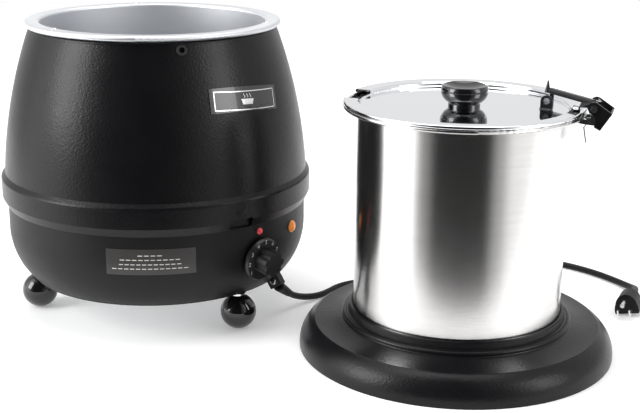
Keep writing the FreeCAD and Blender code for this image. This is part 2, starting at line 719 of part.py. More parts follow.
def make_lid():
    """Lid pan: a flat sunk disc, an upright wall and a flange with a rolled edge, open at a gap for a ladle."""
    bead_x = "pot_rim_radius - rim_bead"
    top = "pot_top + 2 * rim_bead + 0.1"
    outline = [
        ("2.4", "lid_disc - lid_sheet"),
        ("lid_wall - 2.3", "lid_disc - lid_sheet", "2.3", -1),
        ("lid_wall", "lid_disc + 2.3 - lid_sheet"),
        ("lid_wall", "pot_top + 1.8"),
        (bead_x + " - 1", "pot_top + 1.8"),
        (bead_x, "pot_top + 0.1", "rim_bead", -1),
        ("pot_rim_radius", "pot_top + 0.1 + rim_bead", "rim_bead", -1),
        (bead_x, top),
        (bead_x + " - 1.5", top + " - 0.5"),
        ("lid_wall + 1.2", top + " - 0.5"),
        ("lid_wall - lid_sheet", "pot_top + 1.6"),
        ("lid_wall - lid_sheet", "lid_disc + 1.5", "1.5", 1),
        ("lid_wall - lid_sheet - 1.5", "lid_disc"),
        ("2.4", "lid_disc"),
    ]
    notch = block("30", "46", "20", FreeCAD.Placement(
        POT_AXIS.Base.add(polar(116.5, NOTCH_AZIMUTH, dim("lid_disc") + 1.2)), about_z(NOTCH_AZIMUTH)))
    keep("lid_pan", cut(turned("lid_pan", outline, POT_AXIS), notch))
    knob = [
        ("2.2", "0"),
        ("16", "0"),
        ("16", "2.6", "3", 1),
        ("16.9", "4", "13.5", -1),
        ("lid_knob_radius", "14.4", "9", -1),
        ("lid_knob_radius - 1.5", "lid_knob_height - 0.4"),
        ("lid_knob_radius - 2.2", "lid_knob_height"),
        ("lid_knob_radius - 3.2", "lid_knob_height - 0.5", "40", 1),
        ("5", "lid_knob_height - 4.8"),
        ("0", "lid_knob_height - 4.8"),
        ("0", "11"),
        ("2.2", "11"),
    ]
    on_disc = FreeCAD.Placement(POT_AXIS.Base.add(Vector(0, 0, dim("lid_disc"))), FreeCAD.Rotation())
    keep("lid_knob", turned("lid_knob", knob, on_disc))
    keep("knob_washer", turned("knob_washer", [("2.4", "-2"), ("8", "-2"), ("8", "-lid_sheet"),
                                               ("2.4", "-lid_sheet")], on_disc))
    keep("knob_screw", turned("knob_screw", [("0", "-5"), ("4.4", "-5"), ("4.4", "-2"), ("2.15", "-2"),
                                             ("2.15", "10.5"), ("0", "10.5")], on_disc))


def hinge_side(name, outline, thickness, sideways):
    """A plate standing across the hinge's pin, from an outline of (reach, height) corners."""
    upright = FreeCAD.Rotation(Vector(1, 0, 0), 90)
    place = HINGE.multiply(FreeCAD.Placement(Vector(0, sideways + dim(thickness), 0), upright))
    return padded(name, outline, thickness, place)


def pair_of_sides(name, outline, thickness, inner):
    """Two equal plates, one each side of the hinge's middle; inner is half the space between them."""
    return [hinge_side(name, outline, thickness, dim(inner)),
            hinge_side(name, outline, thickness, -dim(inner) - dim(thickness))]


def across(radius, length, reach, height, sideways):
    """A rod along the hinge's pin, starting at a distance to the side of the middle."""
    place = HINGE.multiply(FreeCAD.Placement(Vector(reach, sideways, height), FreeCAD.Rotation(Vector(1, 0, 0), -90)))
    return cylinder(radius, length, place.Base, place.Rotation)


def make_hinge_clip():
    """Black clip that holds the lid's pivots beside the pot's rim."""
    outline = [
        ("pivot_reach - 6.2", "pivot_height", "6.2", 1),
        ("pivot_reach + 3.3", "pivot_height + 5.25"),
        ("pivot_reach + 17.5", "pivot_height - 4"),
        ("pivot_reach + 7", "pivot_height - 21"),
        ("pivot_reach + 1", "pivot_height - 18"),
        ("pivot_reach + 2.2", "pivot_height - 11", "7", -1),
        ("pivot_reach - 4", "pivot_height - 4.7"),
    ]
    sides = pair_of_sides("cheek", outline, "cheek_sheet", "cheek_gap / 2")
    web_outline = [
        ("pivot_reach + 17.5", "pivot_height - 4"),
        ("pivot_reach + 7", "pivot_height - 21"),
        ("pivot_reach + 5.6", "pivot_height - 20.3"),
        ("pivot_reach + 15.9", "pivot_height - 3.6"),
    ]
    web = hinge_side("web", web_outline, "cheek_gap", -dim("cheek_gap") / 2)
    clip = fused(web, *sides)
    bores = [across("2.05", "4", dim("pivot_reach"), dim("pivot_height"), side - 2)
             for side in (-dim("cheek_gap / 2 + 0.8"), dim("cheek_gap / 2 + 0.8"))]
    keep("hinge_clip", cut(clip, fused(*bores)))


def make_rim_hook():
    """Bright hook plates under the pot's flange, with the springy tongue that hangs between them."""
    under = "pot_top - 2 * rim_bead - 0.05"
    outline = [
        ("pot_radius + 0.1", under),
        ("pot_radius + 0.1", under + " - 3"),
        ("118", "pivot_height - 15.9"),
        ("pivot_reach + 4", "pivot_height - 16.9"),
        ("pivot_reach + 9", "pivot_height - 9.3"),
        ("120.9", "pivot_height - 9.3"),
        ("120.9", under),
    ]
    sides = pair_of_sides("hook_side", outline, "1.2", "cheek_gap / 2 - 1.4")
    tongue = [
        ("121.6", "pivot_height - 14.9"),
        ("118.3", "pivot_height - 18.9"),
        ("121.2", "pivot_height - 33.9"),
        ("122.2", "pivot_height - 33.9"),
        ("119.4", "pivot_height - 18.9"),
        ("122.8", "pivot_height - 14.5"),
    ]
    strip = hinge_side("tongue", tongue, "cheek_gap - 2", -dim("cheek_gap / 2 - 1"))
    keep("rim_hook", fused(strip, *sides))


def make_hinge_pins():
    """Riveted pivots: a shank through each cheek and the lid's lug, with a domed head outside."""
    pins = []
    rivets = []
    half = dim("cheek_gap / 2")
    for side in (-1, 1):
        start = min(side * (half + dim("cheek_sheet")), side * (half - 4.2))
        shank = across("2", "4.2 + cheek_sheet", dim("pivot_reach"), dim("pivot_height"), start)
        outer = side * (half + dim("cheek_sheet"))
        head = across("3.4", "1.8", dim("pivot_reach"), dim("pivot_height"), min(outer, outer + side * 1.8))
        pins.append(fused(shank, head))
        ear = side * (half - 0.2)
        rivets.append(across("2.5", "1.6", 123.4, dim("pivot_height") - 12.3, min(ear, ear + side * 1.6)))
    keep("hinge_pins", group(*pins))
    keep("hook_rivets", group(*rivets))


def make_lid_hinge():
    """The lid's side of the hinge: a bright bracket stepped over the rim, its foot rivet, and the black bar."""
    lug = [
        ("pivot_reach - 9.2", "pivot_height + 0.1"),
        ("pivot_reach - 5", "pivot_height + 0.1"),
        ("pivot_reach - 5", "pivot_height - 2.5"),
        ("pivot_reach + 5.2", "pivot_height - 2.5", "5.8", -1),
        ("pivot_reach + 2", "pivot_height + 5.4"),
        ("pivot_reach - 9.2", "pivot_height + 2.5"),
    ]
    lugs = pair_of_sides("lug", lug, "1.5", "cheek_gap / 2 - 1.9")
    step = [
        ("106", "pot_top + 4"),
        ("114.4", "pot_top + 4"),
        ("114.4", "pivot_height + 0.1"),
        ("pivot_reach - 4", "pivot_height + 0.1"),
        ("pivot_reach - 4", "pivot_height + 1.2"),
        ("113.3", "pivot_height + 1.2"),
        ("113.3", "pot_top + 5.1"),
        ("106", "pot_top + 5.1"),
    ]
    bracket = hinge_side("step", step, "cheek_gap - 0.8", -dim("cheek_gap / 2 - 0.4"))
    bores = [across("2.05", "6", dim("pivot_reach"), dim("pivot_height"), side - 3)
             for side in (-dim("cheek_gap / 2"), dim("cheek_gap / 2"))]
    keep("lid_lugs", cut(fused(bracket, *lugs), fused(*bores)))
    foot_rivet = HINGE.multVec(Vector(109.5, -6, dim("pot_top + 5.1")))
    keep("foot_rivet", turned("foot_rivet", [("0", "0"), ("3.2", "0"), ("3.2", "0.4", "4", -1), ("0.8", "1.5"),
                                             ("0", "1.5")], FreeCAD.Placement(foot_rivet, FreeCAD.Rotation())))
    bar_start = Vector(dim("pivot_reach") - 1.7, -1.2, dim("pivot_height") + 1.2)
    bar_end = Vector(78.5, 46.2, dim("pivot_height") + 1.2)
    heading = FreeCAD.Rotation(Vector(1, 0, 0), bar_end.sub(bar_start))
    bar_place = HINGE.multiply(FreeCAD.Placement(bar_start, heading)).multiply(
        FreeCAD.Placement(Vector(), FreeCAD.Rotation(Vector(1, 1, 1), 120)))
    half_round = [
        ("-3.6", "0"),
        ("3.6", "0"),
        ("3.6", "2.4", "3.4", -1),
        ("1.8", "4.9"),
        ("-1.8", "4.9", "3.4", -1),
        ("-3.6", "2.4"),
    ]
    bar = padded("bar", half_round, "%.3f" % bar_end.sub(bar_start).Length, bar_place)
    horn = doc.addObject("Part::Cone", "Horn")
    bind(horn, Radius1="3", Radius2="0.6", Height="12")
    horn.Placement.Base = HINGE.multVec(Vector(75.9, 46, dim("pivot_height") + 1.4))
    post = block("4", "4", "pivot_height + 1.3 - lid_disc - 0.05", HINGE.multiply(FreeCAD.Placement(
        Vector(80.6, 44, dim("lid_disc") + 0.05), FreeCAD.Rotation())))
    keep("lid_bar", fused(bar, horn, post))


def make_lid_ear():
    """Black ear standing on a bright tab on the lid's disc."""
    outline = [
        ("73.6", "lid_disc + 1.2"),
        ("85.6", "lid_disc + 1.2"),
        ("85.6", "pivot_height + 0.2", "6.1", -1),
        ("73.6", "pivot_height + 0.2"),
    ]
    keep("lid_ear", hinge_side("ear", outline, "1.6", 9.5))
    keep("ear_tab", block("13", "7", "1.1", HINGE.multiply(FreeCAD.Placement(
        Vector(79.6, 11, dim("lid_disc") + 0.05), FreeCAD.Rotation()))))
    keep("ear_rivet", across("3.1", "1.5", 79.6, dim("pivot_height") - 0.3, 8))


# --- collar ------------------------------------------------------------------------------------------------


def make_collar():
    """Adaptor ring: an upright neck round the pot, a bead, a hollow shelf and a domed skirt."""
    outline = [
        ("collar_bore", "collar_top - 1"),
        ("collar_bore + 1", "collar_top"),
        ("collar_bore + 2.6", "collar_top", "1.4", 1),
        ("collar_bore + 3.6", "collar_top - 1.2"),
        ("collar_bore + 4.4", "collar_top - 7.4"),
        ("collar_bore + 6.2", "collar_top - 8", "3", 1),
        ("collar_bore + 10.6", "collar_top - 11.6"),
        ("collar_bore + 11.4", "collar_top - 12.6", "90", -1),
        ("ridge_radius - 0.9", "collar_ridge + 0.8"),
        ("ridge_radius", "collar_ridge", "30", 1),
        ("collar_radius", "0"),
        ("collar_radius - collar_sheet", "0", "28.5", -1),
        ("ridge_radius - 1.2", "collar_ridge - collar_sheet"),
        ("collar_bore + 11", "collar_top - 14.4"),
        ("collar_bore", "collar_top - 10"),
    ]
    keep("collar_ring", turned("collar_ring", outline, POT_AXIS))


# --- assembly ----------------------------------------------------------------------------------------------

make_upper_shell()
make_lower_bowl()
make_water_well()
make_well_screws()
make_vent_grommet()
make_base_plate()
surface_plate("badge_plate", "87", "25", "0.9", outward(BADGE_AZIMUTH, 150, BADGE_HEIGHT, -15).multiply(
    FreeCAD.Placement(Vector(), about_z(BADGE_TILT))), badge_band)
surface_plate("rating_plate", "90", "27.5", "0.4", outward(RATING_AZIMUTH, dim("bowl_radius"), 95.4), rating_band)
make_insulation()
make_heater()
make_feet()
make_lamp("red_lamp", "red_lamp_radius", RED_LAMP)
make_lamp("amber_lamp", "amber_lamp_radius", AMBER_LAMP)
make_dial()
make_thermostat()
make_wiring()
make_strain_relief()
make_cord()
make_plug()
make_pot()
make_lid()
make_hinge_clip()
make_rim_hook()
make_hinge_pins()
make_lid_hinge()
make_lid_ear()
make_collar()

doc.recompute()

failed = [thing.Label for thing in doc.Objects if "Invalid" in thing.State or "Error" in thing.State]
for name, thing in nodes.items():
    if thing.Shape.isNull() or not thing.Shape.isValid() or thing.Shape.Volume <= 0:
        failed.append(name)
if failed:
    raise RuntimeError("not built: " + ", ".join(failed))

os.makedirs("parts", exist_ok=True)
for name, thing in nodes.items():
    thing.Shape.exportStep("parts/%s.step" % name)
print("%d nodes" % len(nodes))
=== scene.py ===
import json
import math

import bmesh
import bpy
from mathutils import Matrix, Vector


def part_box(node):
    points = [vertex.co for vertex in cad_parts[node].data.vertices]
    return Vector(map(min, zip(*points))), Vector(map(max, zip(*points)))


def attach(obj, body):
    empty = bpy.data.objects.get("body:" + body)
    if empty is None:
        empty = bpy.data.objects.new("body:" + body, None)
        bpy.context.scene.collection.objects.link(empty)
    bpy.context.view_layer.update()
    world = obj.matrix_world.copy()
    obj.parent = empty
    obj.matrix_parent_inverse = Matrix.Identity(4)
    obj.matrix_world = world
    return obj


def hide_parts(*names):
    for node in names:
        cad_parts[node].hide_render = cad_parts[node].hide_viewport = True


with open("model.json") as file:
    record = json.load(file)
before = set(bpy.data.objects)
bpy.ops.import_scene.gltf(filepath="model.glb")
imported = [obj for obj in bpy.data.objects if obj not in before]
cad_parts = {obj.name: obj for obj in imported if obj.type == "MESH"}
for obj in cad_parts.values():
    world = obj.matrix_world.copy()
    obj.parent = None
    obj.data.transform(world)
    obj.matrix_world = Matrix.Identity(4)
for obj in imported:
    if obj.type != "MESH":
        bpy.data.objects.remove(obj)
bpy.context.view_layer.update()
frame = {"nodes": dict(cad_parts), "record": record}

scene = bpy.context.scene
scene.view_settings.view_transform = "Standard"

# --- camera -------------------------------------------------------------------------------------------------

CAMERA_PLACE = (0.22466, -1.34758, 0.50354)
CAMERA_RIGHT = Vector((0.99936, 0.03455, 0.00955))
CAMERA_UP = Vector((-0.01885, 0.27988, 0.95986))
CAMERA_BACK = Vector((0.0305, -0.9594, 0.2803))
LENS = 70.46
SENSOR_WIDTH = 36
NEAREST_SEEN = 0.01

camera = bpy.data.objects.new("camera", bpy.data.cameras.new("camera"))
camera.data.lens = LENS
camera.data.sensor_width = SENSOR_WIDTH
camera.data.clip_start = NEAREST_SEEN
turn = Matrix((CAMERA_RIGHT, CAMERA_UP, CAMERA_BACK)).transposed()
camera.matrix_world = Matrix.Translation(CAMERA_PLACE) @ turn.to_4x4()
scene.collection.objects.link(camera)
scene.camera = camera

# --- material tools -----------------------------------------------------------------------------------------


class Paint:
    """A material under construction: its node tree, with short names for the nodes it needs."""

    def __init__(self, name, colour, roughness, metallic=0.0, **sockets):
        self.material = bpy.data.materials.new(name)
        self.material.use_nodes = True
        self.tree = self.material.node_tree
        self.shader = self.tree.nodes["Principled BSDF"]
        self.shader.inputs["Base Color"].default_value = (*colour, 1)
        self.shader.inputs["Roughness"].default_value = roughness
        self.shader.inputs["Metallic"].default_value = metallic
        for socket, value in sockets.items():
            self.shader.inputs[socket.replace("_", " ")].default_value = value
        self.place = self.node("ShaderNodeTexCoord").outputs["Object"]

    def node(self, kind, **settings):
        node = self.tree.nodes.new(kind)
        for name, value in settings.items():
            setattr(node, name, value)
        return node

    def link(self, source, target):
        self.tree.links.new(source, target)

    def stretched(self, scale):
        """Object coordinates, scaled per axis."""
        mapping = self.node("ShaderNodeMapping")
        mapping.inputs["Scale"].default_value = scale
        self.link(self.place, mapping.inputs["Vector"])
        return mapping.outputs["Vector"]

    def around(self, centre, turns, rise):
        """Coordinates on a turned surface: angle, radius and height about an upright axis."""
        shift = self.node("ShaderNodeVectorMath", operation="SUBTRACT")
        self.link(self.place, shift.inputs[0])
        shift.inputs[1].default_value = (*centre, 0)
        parts = self.node("ShaderNodeSeparateXYZ")
        self.link(shift.outputs[0], parts.inputs[0])
        angle = self.math("ARCTAN2", parts.outputs["Y"], parts.outputs["X"])
        flat = self.node("ShaderNodeCombineXYZ")
        self.link(parts.outputs["X"], flat.inputs["X"])
        self.link(parts.outputs["Y"], flat.inputs["Y"])
        radius = self.node("ShaderNodeVectorMath", operation="LENGTH")
        self.link(flat.outputs[0], radius.inputs[0])
        out = self.node("ShaderNodeCombineXYZ")
        self.link(self.math("MULTIPLY", angle, turns), out.inputs["X"])
        self.link(self.math("MULTIPLY", radius.outputs["Value"], rise), out.inputs["Y"])
        self.link(self.math("MULTIPLY", parts.outputs["Z"], rise), out.inputs["Z"])
        return out.outputs[0]

    def math(self, operation, first, second=None):
        node = self.node("ShaderNodeMath", operation=operation)
        for socket, value in zip(node.inputs, (first, second)):
            if value is None:
                continue
            if isinstance(value, (int, float)):
                socket.default_value = value
            else:
                self.link(value, socket)
        return node.outputs[0]

    def noise(self, vector, scale, detail=2.0, roughness=0.5):
        node = self.node("ShaderNodeTexNoise")
        node.inputs["Scale"].default_value = scale
        node.inputs["Detail"].default_value = detail
        node.inputs["Roughness"].default_value = roughness
        self.link(vector or self.place, node.inputs["Vector"])
        return node.outputs["Fac"]

    def cells(self, vector, scale, smooth=1.0):
        node = self.node("ShaderNodeTexVoronoi", feature="SMOOTH_F1")
        node.inputs["Scale"].default_value = scale
        node.inputs["Smoothness"].default_value = smooth
        self.link(vector or self.place, node.inputs["Vector"])
        return node.outputs["Distance"]

    def ramp(self, value, low, high):
        """The value remapped to run from low to high."""
        node = self.node("ShaderNodeMapRange")
        node.inputs["To Min"].default_value = low
        node.inputs["To Max"].default_value = high
        self.link(value, node.inputs["Value"])
        return node.outputs["Result"]

    def tint(self, value, low, high):
        """Base colour that varies between two colours with a value."""
        node = self.node("ShaderNodeMix", data_type="RGBA")
        self.link(value, node.inputs["Factor"])
        node.inputs["A"].default_value = (*low, 1)
        node.inputs["B"].default_value = (*high, 1)
        self.link(node.outputs["Result"], self.shader.inputs["Base Color"])

    def rough(self, value, low, high):
        self.link(self.ramp(value, low, high), self.shader.inputs["Roughness"])

    def bump(self, value, depth, strength=1.0, under=None):
        node = self.node("ShaderNodeBump")
        node.inputs["Distance"].default_value = depth
        node.inputs["Strength"].default_value = strength
        self.link(value, node.inputs["Height"])
        if under:
            self.link(under, node.inputs["Normal"])
        return node.outputs["Normal"]

    def surface(self, normal):
        self.link(normal, self.shader.inputs["Normal"])
        return self.material


POT_CENTRE = ((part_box("pot_body")[0][0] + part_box("pot_body")[1][0]) / 2,
              (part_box("pot_body")[0][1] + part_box("pot_body")[1][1]) / 2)


def hammered_paint():
    paint = Paint("hammered black enamel", (0.006, 0.006, 0.007), 0.26, Specular_IOR_Level=0.24)
    pores = paint.cells(None, 480, 0.7)
    swell = paint.noise(None, 330, 3.0, 0.55)
    paint.rough(paint.noise(None, 40, 3.0), 0.24, 0.36)
    paint.tint(paint.noise(None, 25, 2.0), (0.004, 0.004, 0.005), (0.008, 0.008, 0.009))
    fine = paint.bump(swell, 0.0004, 0.45)
    return paint.surface(paint.bump(pores, 0.0003, 0.3, fine))


def satin_paint():
    paint = Paint("satin black enamel", (0.007, 0.0065, 0.0065), 0.36, Specular_IOR_Level=0.22)
    paint.rough(paint.noise(None, 60, 4.0), 0.36, 0.5)
    paint.tint(paint.noise(None, 18, 2.0), (0.0055, 0.005, 0.005), (0.0085, 0.008, 0.008))
    return paint.surface(paint.bump(paint.noise(None, 900, 3.0), 0.00015, 0.5))


def spun_aluminium():
    paint = Paint("spun aluminium", (0.86, 0.88, 0.91), 0.33, 1.0, Anisotropic=0.5)
    tangent = paint.node("ShaderNodeTangent", direction_type="RADIAL", axis="Z")
    paint.link(tangent.outputs[0], paint.shader.inputs["Tangent"])
    rings = paint.noise(paint.around((0, 0), 1.2, 900), 1.0, 3.0, 0.6)
    cloud = paint.noise(None, 14, 3.0)
    paint.rough(cloud, 0.36, 0.5)
    paint.tint(cloud, (0.70, 0.72, 0.75), (0.79, 0.80, 0.82))
    return paint.surface(paint.bump(rings, 0.00012, 0.5))


def brushed_steel():
    """Stainless steel brushed round the pot."""
    paint = Paint("brushed stainless", (0.80, 0.79, 0.78), 0.2, 1.0, Anisotropic=0.75, Anisotropic_Rotation=0.25)
    tangent = paint.node("ShaderNodeTangent", direction_type="RADIAL", axis="Z")
    paint.link(tangent.outputs[0], paint.shader.inputs["Tangent"])
    lines = paint.noise(paint.around(POT_CENTRE, 2.5, 2400), 1.0, 4.0, 0.7)
    broad = paint.noise(paint.around(POT_CENTRE, 1.2, 240), 1.0, 3.0, 0.6)
    paint.rough(lines, 0.13, 0.27)
    paint.tint(broad, (0.74, 0.73, 0.72), (0.84, 0.83, 0.82))
    return paint.surface(paint.bump(lines, 0.00006, 0.5))


def mirror_steel():
    paint = Paint("polished stainless", (0.86, 0.87, 0.89), 0.06, 1.0)
    paint.rough(paint.noise(None, 30, 3.0), 0.035, 0.085)
    return paint.surface(paint.bump(paint.noise(paint.around(POT_CENTRE, 3.0, 1500), 1.0, 2.0), 0.00002, 0.3))


def plated_steel(name="bright plated steel", colour=(0.78, 0.78, 0.79), roughness=0.2):
    paint = Paint(name, colour, roughness, 1.0)
    paint.rough(paint.noise(None, 220, 3.0), roughness * 0.8, roughness * 1.3)
    return paint.surface(paint.bump(paint.noise(None, 1500, 2.0), 0.00003, 0.4))


def moulded(name, colour, low, high, grain=1800, depth=0.00004, **sockets):
    """Moulded plastic or rubber: a fine grain, and a sheen that varies a little."""
    paint = Paint(name, colour, (low + high) / 2, **sockets)
    paint.rough(paint.noise(None, 120, 3.0), low, high)
    darker = tuple(part * 0.8 for part in colour)
    lighter = tuple(min(1, part * 1.2) for part in colour)
    paint.tint(paint.noise(None, 60, 2.0), darker, lighter)
    return paint.surface(paint.bump(paint.noise(None, grain, 2.0), depth, 0.5))


def lens(name, colour, glow):
    """Translucent coloured lens that glows a little from within."""
    paint = Paint(name, colour, 0.12, Transmission_Weight=0.25, IOR=1.49, Coat_Weight=1.0, Coat_Roughness=0.05)
    paint.shader.inputs["Emission Color"].default_value = (*colour, 1)
    paint.shader.inputs["Emission Strength"].default_value = glow
    facets = paint.cells(None, 700, 0.3)
    paint.tint(facets, tuple(part * 0.75 for part in colour), colour)
    return paint.surface(paint.bump(facets, 0.0002, 0.3))


def fibre():
    paint = Paint("glass wool", (0.85, 0.80, 0.66), 0.95, Sheen_Weight=0.3)
    strands = paint.noise(paint.stretched((1, 1, 4)), 260, 6.0, 0.8)
    paint.tint(strands, (0.62, 0.57, 0.42), (0.92, 0.88, 0.76))
    return paint.surface(paint.bump(strands, 0.002, 0.9))


MATERIALS = {
    "hammered_black": hammered_paint(),
    "satin_black": satin_paint(),
    "aluminium": spun_aluminium(),
    "steel": plated_steel(),
    "zinc": plated_steel("zinc plated sheet", (0.56, 0.57, 0.58), 0.38),
    "rubber": moulded("grommet rubber", (0.012, 0.012, 0.012), 0.5, 0.7),
    "badge": moulded("badge enamel", (0.012, 0.012, 0.013), 0.2, 0.3, 600, 0.00003, Coat_Weight=0.6),
    "label": moulded("label film", (0.032, 0.030, 0.029), 0.32, 0.42, 700),
    "glass_wool": fibre(),
    "element_steel": plated_steel("heater sheath", (0.32, 0.30, 0.29), 0.45),
    "bakelite": moulded("gloss black phenolic", (0.007, 0.007, 0.008), 0.07, 0.14, 500, 0.00002,
                        Coat_Weight=0.4),
    "red_lens": lens("red lens", (0.72, 0.05, 0.06), 0.25),
    "amber_lens": lens("amber lens", (0.88, 0.30, 0.03), 0.25),
    "nylon": moulded("natural nylon", (0.74, 0.72, 0.66), 0.4, 0.55),
    "knob_plastic": moulded("dial plastic", (0.022, 0.022, 0.023), 0.28, 0.4),
    "copper": plated_steel("drawn copper", (0.80, 0.42, 0.27), 0.28),
    "lead_brown": moulded("brown sleeve", (0.16, 0.06, 0.03), 0.45, 0.6),
    "lead_blue": moulded("blue sleeve", (0.03, 0.10, 0.38), 0.45, 0.6),
    "lead_green": moulded("green sleeve", (0.05, 0.26, 0.05), 0.45, 0.6),
    "cord_rubber": moulded("cord jacket", (0.006, 0.006, 0.007), 0.4, 0.52, 1400, 0.00008,
                           Specular_IOR_Level=0.25),
    "brushed_pot": brushed_steel(),
    "mirror_steel": mirror_steel(),
    "clip_black": moulded("black coated strap", (0.010, 0.010, 0.011), 0.16, 0.3, 700, 0.00006),
}

for part in frame["record"]["subparts"]:
    mesh = frame["nodes"][part["node"]].data
    mesh.materials.clear()
    mesh.materials.append(MATERIALS[part["material_slot"]])

# --- pieces -------------------------------------------------------------------------------------------------


def millimetres(*places):
    return [Vector(place) / 1000 for place in places]


def mesh_piece(name, vertices, faces, material, smooth=True):
    mesh = bpy.data.meshes.new(name)
    mesh.from_pydata([tuple(vertex) for vertex in vertices], [], faces)
    mesh.update()
    for polygon in mesh.polygons:
        polygon.use_smooth = smooth
    piece = bpy.data.objects.new(name, mesh)
    mesh.materials.append(material)
    scene.collection.objects.link(piece)
    return piece


# The supply cord: out of the clamp block, down to the table, into the coil and on to the plug.

CORD_RADIUS = 3.7
LIE = 3.9
KETTLE_ROUTE = [
    (139, -56.6, 35), (146, -46, 25.5), (154, -31, 14.5), (167, -15, 7), (181, -1, LIE), (193, 14, LIE),
    (203, 32, LIE), (222, 46, LIE), (245, 55, LIE), (268, 61, LIE), (289, 69, LIE), (302, 80, LIE),
]
PLUG_ROUTE = [
    (376, 150, LIE), (402, 150, LIE), (430, 148, LIE), (457, 140.5, LIE), (481, 126, LIE), (502, 109, LIE),
    (521, 88, LIE), (536, 66, LIE), (546, 44, 5.5), (547.5, 25, 10.4), (541, 9, 12),
]
COIL_CENTRE = (354.2, 97)
TURN_STEPS = 24
OUTER_TURN = 45.8
INNER_TURN = 38.4


def winding(angle):
    """Radius and height of the cord in the coil after turning by an angle from its start, in degrees."""
    stages = [(0, OUTER_TURN, LIE), (305, OUTER_TURN, LIE), (350, INNER_TURN, LIE), (695, INNER_TURN, LIE),
              (740, INNER_TURN, LIE + 7.4), (1055, INNER_TURN, LIE + 7.4), (1100, OUTER_TURN, LIE + 7.4),
              (1400, OUTER_TURN, LIE + 7.4), (1465, OUTER_TURN + 5.3, LIE + 5.3), (1530, OUTER_TURN + 7.4, LIE)]
    for (start, radius, height), (end, next_radius, next_height) in zip(stages, stages[1:]):
        if angle <= end:
            share = (angle - start) / (end - start)
            share = share * share * (3 - 2 * share)
            return radius + share * (next_radius - radius), height + share * (next_height - height)
    return stages[-1][1:]


coil_route = []
for step in range(int(1530 * TURN_STEPS / 360) + 1):
    angle = step * 360 / TURN_STEPS
    radius, height = winding(angle)
    radius /= math.cos(math.pi / TURN_STEPS)
    azimuth = math.radians(180 - angle)
    coil_route.append((COIL_CENTRE[0] + radius * math.cos(azimuth), COIL_CENTRE[1] + radius * math.sin(azimuth),
                       height))

cord_curve = bpy.data.curves.new("supply_cord", "CURVE")
cord_curve.dimensions = "3D"
cord_curve.bevel_depth = CORD_RADIUS / 1000
cord_curve.bevel_resolution = 5
cord_curve.resolution_u = 6
cord_curve.use_fill_caps = True
spline = cord_curve.splines.new("NURBS")
cord_points = millimetres(*KETTLE_ROUTE, *coil_route, *PLUG_ROUTE)
spline.points.add(len(cord_points) - 1)
for point, place in zip(spline.points, cord_points):
    point.co = (*place, 1)
spline.order_u = 3
spline.use_endpoint_u = True
cord_curve.materials.append(MATERIALS["cord_rubber"])
supply_cord = bpy.data.objects.new("supply_cord", cord_curve)
scene.collection.objects.link(supply_cord)
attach(supply_cord, "kettle")
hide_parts("cord_from_kettle", "cord_coil", "cord_to_plug")



def rings(name, centres, radii, material, sides=28):
    """Closed round piece through centres (metres) with a radius (metres) at each."""
    vertices = []
    faces = []
    for index, (centre, radius) in enumerate(zip(centres, radii)):
        ahead = centres[min(index + 1, len(centres) - 1)] - centres[max(index - 1, 0)]
        facing = ahead.to_track_quat("Z", "Y")
        for side in range(sides):
            turned = 2 * math.pi * side / sides
            vertices.append(centre + facing @ Vector((radius * math.cos(turned), radius * math.sin(turned), 0)))
    for index in range(len(centres) - 1):
        for side in range(sides):
            after = (side + 1) % sides
            faces.append((index * sides + side, index * sides + after,
                          (index + 1) * sides + after, (index + 1) * sides + side))
    faces.append(tuple(reversed(range(sides))))
    faces.append(tuple(range(len(vertices) - sides, len(vertices))))
    return mesh_piece(name, vertices, faces, material)


# The tapered sleeve follows the cord's first bend, from the clamp block towards the table.

SLEEVE_STEPS = 18
SLEEVE_SHARE = 0.92
SLEEVE_RADIUS = 0.0061
SLEEVE_TAPER = 0.0018
SLEEVE_GROOVE = 0.0004

first, bend, beyond = cord_points[0], cord_points[1], (cord_points[1] + cord_points[2]) / 2
sleeve_centres = []
sleeve_radii = []
for step in range(SLEEVE_STEPS + 1):
    share = step / SLEEVE_STEPS * SLEEVE_SHARE
    sleeve_centres.append(first * (1 - share) ** 2 + bend * 2 * share * (1 - share) + beyond * share ** 2)
    groove = SLEEVE_GROOVE if 3 < step < SLEEVE_STEPS - 1 and step % 2 else 0
    sleeve_radii.append(SLEEVE_RADIUS - SLEEVE_TAPER * step / SLEEVE_STEPS - groove)
sleeve = rings("cord_sleeve", sleeve_centres, sleeve_radii, MATERIALS["cord_rubber"])
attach(sleeve, "kettle")

# Marks stand a little proud of the surface they are printed on, whatever its curve.

PRINT_HEIGHT = 0.00022
RIBBON_STEP = 1.5
SIGHT_DISTANCE = 0.06


def seat(node, origin, direction):
    """Point and outward normal where a line first meets a CAD node, in the shared frame."""
    item = frame["nodes"][node]
    back = item.matrix_world.inverted()
    hit, place, normal, _ = item.ray_cast(back @ origin, back.to_3x3() @ direction)
    if not hit:
        raise ValueError("a mark misses " + node)
    return item.matrix_world @ place, (item.matrix_world.to_3x3() @ normal).normalized()


class Plate:
    """A printed face: turns (right, up) places on it, in millimetres, into places in the frame."""

    def __init__(self, node, centre, outward, tilt=0.0):
        self.node = node
        self.outward = outward.normalized()
        self.centre = centre + self.outward * SIGHT_DISTANCE
        flat_right = Vector((0, 0, 1)).cross(self.outward).normalized()
        flat_up = self.outward.cross(flat_right)
        spin = math.radians(tilt)
        self.right = flat_right * math.cos(spin) + flat_up * math.sin(spin)
        self.up = flat_up * math.cos(spin) - flat_right * math.sin(spin)

    def seat(self, place):
        origin = self.centre + self.right * (place[0] / 1000) + self.up * (place[1] / 1000)
        return seat(self.node, origin, -self.outward)


